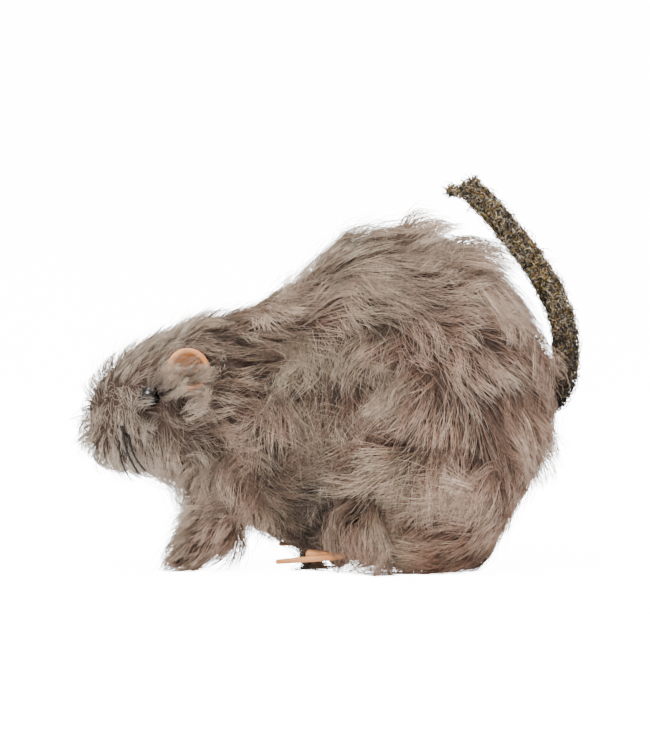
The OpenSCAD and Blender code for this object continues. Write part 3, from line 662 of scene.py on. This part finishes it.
def grow(name, node, count, seed, choose=None, thick=1.0, tuft=None):
    """Grows the pile of one panel, or of the part of it that "choose" picks.

    Every hair belongs to a small wisp and to a large lock. The lock sets the lean, the wave and the
    height; the wisp adds a little of its own. Along the hair, its line is drawn towards the leading
    hair of its wisp and, near the tip, towards the leading hair of its lock.
    """
    rng = np.random.default_rng(seed)
    v, n, t = outside(node)
    if choose is not None:
        t = t[choose(v[t].mean(1))]
    if tuft:
        gap = v[t].mean(1)[:, [0, 2]] - from_floor(*tuft["at"])
        t = t[(gap ** 2).sum(1) < ((tuft["wide"] + 4) * MM) ** 2]
    root, normal = scatter(v, n, t, count * (12 if tuft else 2), rng)
    keep = ~hidden(root, node)
    if tuft:
        off = root[:, [0, 2]] - from_floor(*tuft["at"])
        keep &= (off ** 2).sum(1) < (tuft["wide"] * MM * rng.random(len(root)) ** 0.3) ** 2
    root, normal = root[keep][:count], normal[keep][:count]
    count = len(root)
    full_count = count / share
    locks = rng.choice(count, max(int(full_count / HAIRS_A_LOCK), 8), replace=False)
    wisps = rng.choice(count, max(int(full_count / HAIRS_A_WISP), 8), replace=False)
    lock = nearest(root, root[locks])
    wisp = nearest(root, root[wisps])

    def differ(per_lock, per_wisp, per_hair, size=None):
        """A random amount made of the lock's own, the wisp's own and the hair's own."""
        shape = () if size is None else (size,)
        a = rng.normal(0, per_lock, (len(locks), *shape))[lock]
        b = rng.normal(0, per_wisp, (len(wisps), *shape))[wisp]
        return a + b + rng.normal(0, per_hair, (count, *shape))

    limb = "foreleg" in node
    length = pile_length(root) * (LEG_PILE if limb else 1.0)
    deep = hollow(root)
    way = brushing(root, normal)
    if limb:
        way = 0.35 * way + np.array([-0.9, 0.0, -0.62])
    if tuft:
        way = 0.25 * way + np.array([tuft["way"][0], 0.0, tuft["way"][1]])
        length = np.full(count, tuft["long"] * MM)
    way += differ(*LEAN, 3)
    way -= normal * (way * normal).sum(1)[:, None]
    way /= np.linalg.norm(way, axis=1)[:, None]
    guard = rng.random(count) < GUARD_SHARE
    length = length * np.clip(0.94 + differ(0.10, 0.10, 0.16), 0.45, 1.5) * np.where(guard, 1.12, 1)
    length *= 1 - 0.45 * deep
    depth = sunk(root) + HOLLOW_DEPTH * deep
    base = root - normal * depth[:, None]
    lift = depth * (0.66 + differ(0.08, 0.08, 0.12)) + differ(0.55, 0.35, 0.2) * MM * length / (14 * MM)
    lift = np.maximum(lift, 0.3 * depth) + guard * rng.uniform(*GUARD_LIFT, count) * MM
    at_nose = np.interp((root[:, 0] - MID_X) / MM, [-57, -50], [1.0, 0.0])
    lift += LEG_LIFT * limb + at_nose * NOSE_LIFT + (tuft["lift"] * MM if tuft else 0.0)
    curly = np.interp((root[:, 0] - MID_X) / MM, [-44, -24, 20, 36], [1.45, 2.2, 2.1, 1.3])
    wave = curly * (1.0 + differ(0.4, 0.25, 0.1)) * MM * np.clip(length / (13 * MM), 0.15, 1.1)
    phase = rng.uniform(0, 2 * np.pi, len(locks))[lock] + differ(0.0, 0.5, 0.25)
    at = np.append(RINGS, 1.0)
    own = bend(base, normal, way, length, lift, wave, phase, at)
    t = at[None, :, None]
    to_wisp = np.where(guard, 0.2, rng.uniform(0.35, 0.75, count))[:, None, None] * t ** 1.2
    to_lock = np.where(guard, 0.05, rng.uniform(0.12, 0.42, count))[:, None, None] * t ** 2
    points = own * (1 - to_wisp) + own[wisps][wisp] * to_wisp
    points = keep_clear(points * (1 - to_lock) + own[locks][lock] * to_lock)
    width = THICKNESS * thick * rng.uniform(0.75, 1.3, count)[:, None] / np.sqrt(share)
    width = np.where(guard[:, None], width * 0.75, width)
    verts, faces, each = tubes(points[:, :-1], width, points[:, -1])
    hair = add_mesh(name, verts, faces)
    along = np.tile(np.append(np.repeat(RINGS, SIDES), 1.0), count)
    shade = rng.random(len(locks))[lock] * 0.45
    shade = shade + rng.random(len(wisps))[wisp] * 0.3
    shade = shade + rng.random(count) * 0.25
    # Painted shade: the third channel is 1 in the open, and lower in the fold and round the eye
    painted_shade = np.maximum(deep, painted_eye_shade(root))
    store(hair, "pile", np.stack([along, np.repeat(shade, each), np.repeat(1 - painted_shade, each)], 1))
    hair.data.materials.append(pile_mat)
    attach(hair, BODY)
    print(name, "hairs:", count, "locks:", len(locks), "triangles:", count * A_HAIR)
    return hair


# %% Finish of the pile
# Dark at the cloth, warm taupe along the hair and pale at the tip; the dark root is partly the hair's own
# colour and partly painted shade deep in the pile. Whole locks run greyer or warmer.
pile = Recipe("plush_pile", roughness=0.62, Specular_IOR_Level=0.25, Sheen_Weight=0.1, Sheen_Roughness=0.5)
along, shade, unshaded = pile.attribute("pile")
hair_tone = pile.ramp(along, [
    (0.0, linear(50, 33, 25)), (0.25, linear(112, 82, 65)),
    (0.55, linear(190, 153, 131)), (1.0, linear(248, 224, 205))])
grey_tone = pile.ramp(along, [
    (0.0, linear(38, 30, 22)), (0.25, linear(82, 67, 52)),
    (0.55, linear(152, 131, 108)), (1.0, linear(236, 218, 195))])
dark_tone = pile.ramp(along, [
    (0.0, linear(30, 19, 15)), (0.3, linear(62, 42, 33)),
    (0.65, linear(112, 83, 68)), (1.0, linear(178, 147, 127))])
split = pile.add("ShaderNodeSeparateXYZ")
pile.link(pile.place, split.inputs["Vector"])
# The front and the middle are greyer, and the rump is a warmer brown
frontness = pile.spread(split.outputs["X"], 0.75, -0.35, x_at(8), x_at(26))
patch = pile.noise(13 * MM, 3)
fine = pile.noise(0.9 * MM, 2)
greyness = pile.math("ADD", pile.spread(patch, -0.6, 0.7, 0.35, 0.65), pile.spread(shade, -0.25, 0.25))
tone = pile.mix(pile.math("ADD", greyness, frontness), hair_tone, grey_tone)
tone = pile.mix(pile.spread(shade, 0.95, 0.0, 0.24, 0.52), tone, dark_tone)
muzzle = pile.spread(split.outputs["X"], 0.78, 0.0, x_at(-44), x_at(-22))
tone = pile.mix(muzzle, tone, pile.ramp(along, [(0.0, linear(112, 88, 72)), (1.0, linear(238, 222, 204))]))
# Painted light: the pile is paler high on the back, as if lit from above
painted_top_light = pile.spread(split.outputs["Z"], 0.0, 0.5, z_at(52), z_at(74))
tone = pile.mix(painted_top_light, tone, pile.ramp(along, [(0.0, linear(112, 86, 68)), (1.0, linear(244, 226, 206))]))
# Painted shade: the pile is multiplied darker near the floor
low_shade = pile.spread(split.outputs["Z"], 0.55, 0.0, z_at(1), z_at(18))
tone = pile.mix(low_shade, tone, linear(196, 166, 146), "MULTIPLY")
# Painted highlight: the tips of some locks are lightened towards a pale cream
painted_tip_highlight = pile.math("MULTIPLY", pile.spread(shade, 0.0, 0.5, 0.6, 0.85), along)
tone = pile.mix(painted_tip_highlight, tone, linear(244, 232, 216))
tone = pile.mix(pile.spread(fine, 0.0, 0.5, 0.4, 0.7), tone, linear(120, 96, 78), "MULTIPLY")
# Painted shade: the pile is multiplied darker in the fold between foreleg and haunch and round the eye
tone = pile.mix(pile.spread(unshaded, 0.97, 0.0, 0.25, 1.0), tone, linear(76, 55, 47), "MULTIPLY")
pile.colour(tone)
pile.rough(pile.spread(fine, 0.5, 0.75, 0.3, 0.7))
pile_mat = pile.mat

backing = Recipe("plush_backing", roughness=0.9)
weave = backing.noise(0.5 * MM, 3)
backing.colour(backing.ramp(weave, [(0.3, linear(46, 33, 26)), (0.7, linear(84, 63, 51))]))
backing.bump(weave, 0.15 * MM)


# %% Cloth under the pile
def cloth(name, node):
    """The panel's backing: its outside sunk to where the hairs stand, given thickness and smoothed."""
    v, n, t = outside(node)
    deep = sunk(v) + HOLLOW_DEPTH * hollow(v) - 0.1 * MM
    panel = add_mesh(name, v - n * deep[:, None], [t])
    panel.data.materials.append(backing.mat)
    thick = panel.modifiers.new("cloth thickness", "SOLIDIFY")
    thick.thickness = 0.4 * MM
    thick.offset = -1
    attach(panel, BODY)
    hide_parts(node)
    return panel


PANELS = ["fur_left", "fur_right", "fur_head", "fur_haunch_left", "fur_haunch_right", "fur_foreleg_left",
          "fur_foreleg_right"]
for panel_node in PANELS:
    cloth(panel_node.replace("fur_", "cloth_"), panel_node)

# %% Tufts
# Hair that is combed over something: the front of the ear, the eye, the top of the foreleg, and the back
# of the foot. Places are X from the middle and height in millimetres, and so are the widths
# For each: the panel it grows from, its place, how wide it is, which way it lies, the length and lift of
# its hair in millimetres, and how many hairs it has
TUFT_COLUMNS = ("name", "on", "at", "wide", "way", "long", "lift", "hairs")
TUFT_ROWS = [
    ("ear_tuft", "fur_head", (-38.2, 43.0), 4.0, (0.8, 0.5), 8.2, 7.8, 520),
    ("cheek_tuft", "fur_head", (-33.8, 40.4), 4.2, (0.8, 0.45), 7.5, 7.2, 460),
    ("brow_tuft", "fur_head", (-46.4, 38.4), 3.0, (0.85, 0.55), 6.8, 3.2, 75),
    ("elbow_tuft", "fur_SIDE", (-24.0, 24.0), 8.5, (-0.65, -0.95), 15.0, 4.0, 420),
    ("chest_tuft", "fur_head", (-31.5, 21.0), 7.0, (-0.45, -1.0), 12.0, 3.0, 500),
    ("belly_tuft", "fur_SIDE", (-14.0, 9.0), 7.5, (-0.2, -1.0), 12.0, 0.8, 520),
    ("thigh_tuft", "fur_haunch_SIDE", (5.0, 14.0), 8.0, (-0.25, -1.0), 15.0, 6.0, 750),
    ("forearm_tuft", "fur_foreleg_SIDE", (-20.5, 14.0), 6.5, (-1.0, -0.5), 11.0, 3.6, 500),
    ("crest_tuft", "fur_SIDE", (17.0, 78.0), 5.0, (1.0, 0.4), 10.5, 5.2, 170),
    ("back_tuft", "fur_SIDE", (28.5, 75.0), 6.0, (1.0, 0.1), 12.5, 4.4, 230),
    ("rump_tuft", "fur_SIDE", (44.5, 33.0), 8.0, (0.6, -0.9), 10.5, 3.2, 350),
    ("hem_tuft", "fur_haunch_SIDE", (18.0, 2.5), 13.0, (-1.0, -0.45), 11.0, 0.8, 760),
]
TUFTS = [dict(zip(TUFT_COLUMNS, row)) for row in TUFT_ROWS]
print("tufts a side:", len(TUFTS))

# %% Pile on every panel
FRONT, REAR = MID_X - 4 * MM, MID_X + 22 * MM
FINE_HAIR = 0.8  # the hair of the head is thinner by this
BODY_HAIRS, HEAD_HAIRS, HAUNCH_HAIRS, LEG_HAIRS = 4500, 4700, 4100, 2200
for seed, side in enumerate(("left", "right")):
    grow("pile_shoulder_" + side, "fur_" + side, int(BODY_HAIRS * share), 10 + seed,
         lambda m: m[:, 0] < FRONT)
    grow("pile_flank_" + side, "fur_" + side, int(BODY_HAIRS * share), 20 + seed,
         lambda m: (m[:, 0] >= FRONT) & (m[:, 0] < REAR))
    grow("pile_rump_" + side, "fur_" + side, int(BODY_HAIRS * share), 30 + seed, lambda m: m[:, 0] >= REAR)
    half = -1 if side == "left" else 1
    for i, tuft in enumerate(TUFTS):
        grow(tuft["name"] + "_" + side, tuft["on"].replace("SIDE", side), int(tuft["hairs"] * share),
             100 + 10 * i + seed, lambda m: m[:, 1] * half >= 0,
             FINE_HAIR if "head" in tuft["on"] else 1.0, tuft)
    grow("pile_head_" + side, "fur_head", int(HEAD_HAIRS * share), 40 + seed,
         lambda m: m[:, 1] * half >= 0, FINE_HAIR)
    grow("pile_haunch_" + side, "fur_haunch_" + side, int(HAUNCH_HAIRS * share), 50 + seed)
    grow("pile_foreleg_" + side, "fur_foreleg_" + side, int(LEG_HAIRS * share), 60 + seed)

# %% [markdown]
# ## The tail
# The tail is a steel wire in a tube of fancy yarn, spun from short curly fibres of many colours. Its core
# is a lumpy tube. Fibres stand all round it: each leaves the core, curls and lies down again. The end is
# frayed into a thin prong and a short thick stub. At the rump the yarn is darker.

# %% Line of the tail
# The same route as the wire in the CAD, from the plug in the rump over the back: X from the middle
# and height above the floor, in millimetres
TAIL_ROUTE = np.array([
    [47.2, 38.5], [51, 39], [54.2, 42.2], [55.5, 47.2], [55.6, 52.4], [54.9, 57.6], [53.2, 62.7],
    [50.8, 67.6], [47.8, 72.2], [44.5, 76.5], [41.1, 80.6], [38, 84.4], [35.2, 87.3],
    [33.2, 88.9]]) - np.array([0.25, 0])
PRONG = np.array([[34.8, 87.5], [32.0, 88.7], [29.4, 89.0], [26.9, 89.2]])
STUB = np.array([[34.6, 87.7], [33.5, 89.3], [32.7, 90.6], [32.3, 91.5]])
TAIL_WIDE, TAIL_NARROW = 2.9 * MM, 2.2 * MM


def smooth_line(route, count):
    """Evenly spaced points, as (x, 0, z), on a smooth curve through a route."""
    pts = np.stack([MID_X + route[:, 0] * MM, 0 * route[:, 0], floor_z + route[:, 1] * MM], 1)
    p = np.concatenate([pts[:1] * 2 - pts[1:2], pts, pts[-1:] * 2 - pts[-2:-1]])
    t = np.linspace(0, 1, 24, endpoint=False)[None, :, None]
    a, b, c, d = p[:-3, None], p[1:-2, None], p[2:-1, None], p[3:, None]
    square, cube = 2 * a - 5 * b + 4 * c - d, 3 * b - a - 3 * c + d
    curve = 0.5 * (2 * b + (c - a) * t + square * t ** 2 + cube * t ** 3)
    curve = np.concatenate([curve.reshape(-1, 3), pts[-1:]])
    far = np.concatenate([[0], np.cumsum(np.linalg.norm(np.diff(curve, axis=0), axis=1))])
    at = np.linspace(0, far[-1], count)
    return np.stack([np.interp(at, far, curve[:, i]) for i in range(3)], 1), far[-1]


def frame_along(line):
    """Unit vectors ahead, across (along Y) and out for each point of a line in the X-Z plane."""
    ahead = np.gradient(line, axis=0)
    ahead /= np.linalg.norm(ahead, axis=1)[:, None]
    across = np.tile([0.0, 1.0, 0.0], (len(line), 1))
    return ahead, across, np.cross(ahead, across)


def yarn_tube(name, route, wide, narrow, rows, around=40, lump=0.22):
    """The lumpy core: a tube whose radius is the yarn's, plus a twist of ridges, closed at both ends."""
    line, reach = smooth_line(route, rows)
    ahead, across, out = frame_along(line)
    f = np.linspace(0, 1, rows)[:, None]
    turn = 2 * np.pi * np.arange(around)[None] / around
    ridge = np.sin(3 * turn + 2 * np.pi * f * reach / (3.4 * MM))
    ridge = ridge + 0.6 * np.sin(5 * turn - 9 * f * reach / (4 * MM))
    close = np.sqrt(np.clip(1 - ((f - 0.5) * 2) ** 40, 0.02, 1))
    r = (wide + (narrow - wide) * f + lump * MM * 0.5 * ridge) * close
    spoke = across[:, None] * np.cos(turn)[..., None] + out[:, None] * np.sin(turn)[..., None]
    verts = (line[:, None] + r[..., None] * spoke).reshape(-1, 3)
    i, j = np.meshgrid(np.arange(rows - 1), np.arange(around), indexing="ij")
    a, b = i * around + j, i * around + (j + 1) % around
    quads = np.stack([a, b, b + around, a + around], -1).reshape(-1, 4)
    ends = np.concatenate([line[:1], line[-1:]])
    verts = np.concatenate([verts, ends])
    j = np.arange(around)
    cap0 = np.stack([(j + 1) % around, j, np.full(around, rows * around)], 1)
    top = (rows - 1) * around
    cap1 = np.stack([top + j, top + (j + 1) % around, np.full(around, rows * around + 1)], 1)
    tube = add_mesh(name, verts, [quads, np.concatenate([cap0, cap1])])
    tube.data.materials.append(yarn_mat)
    shade = np.concatenate([np.repeat(f, around), [0, 1]])
    # The third channel puts painted shade on the core, under its fibres
    store(tube, "yarn", np.stack([shade, 0 * shade + 0.5, 0 * shade + 0.25], 1))
    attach(tube, BODY)
    return tube


def fibres(name, route, wide, narrow, count, seed, long=2.6, start=0.0):
    """Short curly fibres all round a stretch of yarn."""
    rng = np.random.default_rng(seed)
    line, reach = smooth_line(route, 200)
    ahead, across, out = frame_along(line)
    f = rng.random(count) ** 0.9
    i = (f * 199).astype(int)
    turn = rng.uniform(0, 2 * np.pi, count)[:, None]
    n = across[i] * np.cos(turn) + out[i] * np.sin(turn)
    r = (wide + (narrow - wide) * f)[:, None]
    root = line[i] + n * r * 0.8
    round_ = np.cross(ahead[i], n)
    angle = rng.uniform(0, 2 * np.pi, count)[:, None]
    way = ahead[i] * np.cos(angle) + round_ * np.sin(angle)
    side = np.cross(n, way)
    length = rng.gamma(6, long / 6, count)[:, None, None] * MM
    t = np.append(RINGS, 1.0)[None, :, None]
    curl = rng.uniform(1.5, 4.2, count)[:, None, None]
    twist = rng.choice([-1, 1], count)[:, None, None]
    run = length * np.sin(curl * t) / curl
    veer = twist * length * (1 - np.cos(curl * t)) / curl
    rise = (0.55 + 0.5 * rng.random(count))[:, None, None] * MM * np.sin(np.pi * np.clip(t * 0.8, 0, 1))
    points = root[:, None] + way[:, None] * run + side[:, None] * veer + n[:, None] * rise
    near = (points - line[i][:, None])
    near -= ahead[i][:, None] * (near * ahead[i][:, None]).sum(-1, keepdims=True)
    short = np.maximum(r[:, None] * 0.86 / np.maximum(np.linalg.norm(near, axis=-1, keepdims=True), 1e-6), 1)
    points = points + near * (short - 1)
    width = np.array([0.10, 0.11, 0.105, 0.09, 0.05]) * MM * rng.uniform(0.7, 1.4, count)[:, None]
    verts, faces, each = tubes(points[:, :-1], width, points[:, -1])
    tuft = add_mesh(name, verts, faces)
    hue = np.repeat(rng.random(count), each)
    along = np.tile(np.append(np.repeat(RINGS, SIDES), 1.0), count)
    # The third channel puts painted shade on each fibre, most at its root
    store(tuft, "yarn", np.stack([np.repeat(start + (1 - start) * f, each), hue, 0.35 + 0.65 * along], 1))
    tuft.data.materials.append(yarn_mat)
    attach(tuft, BODY)
    print(name, "fibres:", count)
    return tuft


# %% Finish of the yarn
# The second channel picks a fibre's dye; the first is how far up the tail it is, dark at the rump; the third
# sets painted shade, darkest at the roots of the fibres and on the core
yarn = Recipe("tweed_yarn", roughness=0.85)
height, dye, fibre_unshaded = yarn.attribute("yarn")
speck = yarn.noise(0.55 * MM, 2)
pick = yarn.math("FRACT", yarn.math("ADD", dye, yarn.math("MULTIPLY", speck, 0.6)))
dyes = yarn.ramp(pick, [
    (0.0, linear(20, 18, 18)), (0.27, linear(120, 114, 110)), (0.36, linear(224, 214, 190)),
    (0.44, linear(176, 142, 58)), (0.56, linear(62, 54, 56)), (0.68, linear(138, 96, 52)),
    (0.76, linear(226, 216, 192)), (0.83, linear(100, 92, 62)), (0.91, linear(44, 34, 30))], "CONSTANT")
# Painted shade: the fibres darken towards their roots, and the core under them is darker
dull = yarn.mix(yarn.spread(fibre_unshaded, 0.75, 0.0, 0.2, 0.8), dyes, linear(92, 80, 70), "MULTIPLY")
dull = yarn.mix(yarn.spread(height, 1.0, 0.0, 0.05, 0.45), dull, linear(92, 74, 64), "MULTIPLY")
yarn.colour(dull)
yarn.bump(yarn.noise(0.3 * MM, 2), 0.12 * MM)
yarn_mat = yarn.mat

# %% Spin the tail
core = yarn_tube("tail_yarn", TAIL_ROUTE, TAIL_WIDE * 0.86, TAIL_NARROW * 0.86, 260)
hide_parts("tail_sleeve")
yarn_tube("tail_prong", PRONG, 1.15 * MM, 0.45 * MM, 40, 20, 0.12)
yarn_tube("tail_stub", STUB, 1.75 * MM, 1.2 * MM, 30, 24, 0.2)
fibres("tail_fibres", TAIL_ROUTE, TAIL_WIDE, TAIL_NARROW, int(6400 * share), 71)
fibres("tail_prong_fibres", PRONG, 1.2 * MM, 0.5 * MM, int(420 * share), 72, 1.6, 0.95)
fibres("tail_stub_fibres", STUB, 1.9 * MM, 1.5 * MM, int(420 * share), 73, 2.0, 0.95)

# %% [markdown]
# ## Whiskers
# Three nylon bristles a side, set in the muzzle. A bristle is stiff, tapers to its end, and bows a
# little under its own spring.

# %% Bristles
WHISKER_RINGS = 14
WHISKER_ROOTS = np.array([[-49.3, 33.8], [-47.8, 31.8], [-50.0, 30.4]])
WHISKER_TIPS = np.array([[-44.9, 22.6], [-43.4, 23.3], [-46.6, 20.8]])
for side, sign in (("left", -1), ("right", 1)):
    lo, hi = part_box("whiskers_" + side)
    inner, outer = sorted((abs(lo[1]), abs(hi[1])))
    u = np.linspace(0, 1, WHISKER_RINGS)[None, :, None]
    start = np.stack([MID_X + WHISKER_ROOTS[:, 0] * MM, np.full(3, sign * (inner + 0.68 * (outer - inner))),
                      floor_z + WHISKER_ROOTS[:, 1] * MM], 1)
    end = np.stack([MID_X + WHISKER_TIPS[:, 0] * MM, sign * (outer + np.array([1.6, 0.8, 0.2]) * MM),
                    floor_z + WHISKER_TIPS[:, 1] * MM], 1)
    line = start[:, None] + (end - start)[:, None] * u
    line[..., 1] += sign * 1.6 * MM * np.sin(np.pi * u[..., 0])
    line[..., 0] -= 0.9 * MM * np.sin(np.pi * u[..., 0])
    thick = np.linspace(0.42, 0.27, WHISKER_RINGS)[None] * MM * np.array([1.0, 0.9, 0.6])[:, None]
    verts, faces, each = tubes(line[:, :-1], thick[:, :-1], line[:, -1])
    bristles = add_mesh("bristles_" + side, verts, faces)
    bristles.data.materials.append(bristle_mat)
    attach(bristles, BODY)
    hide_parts("whiskers_" + side)
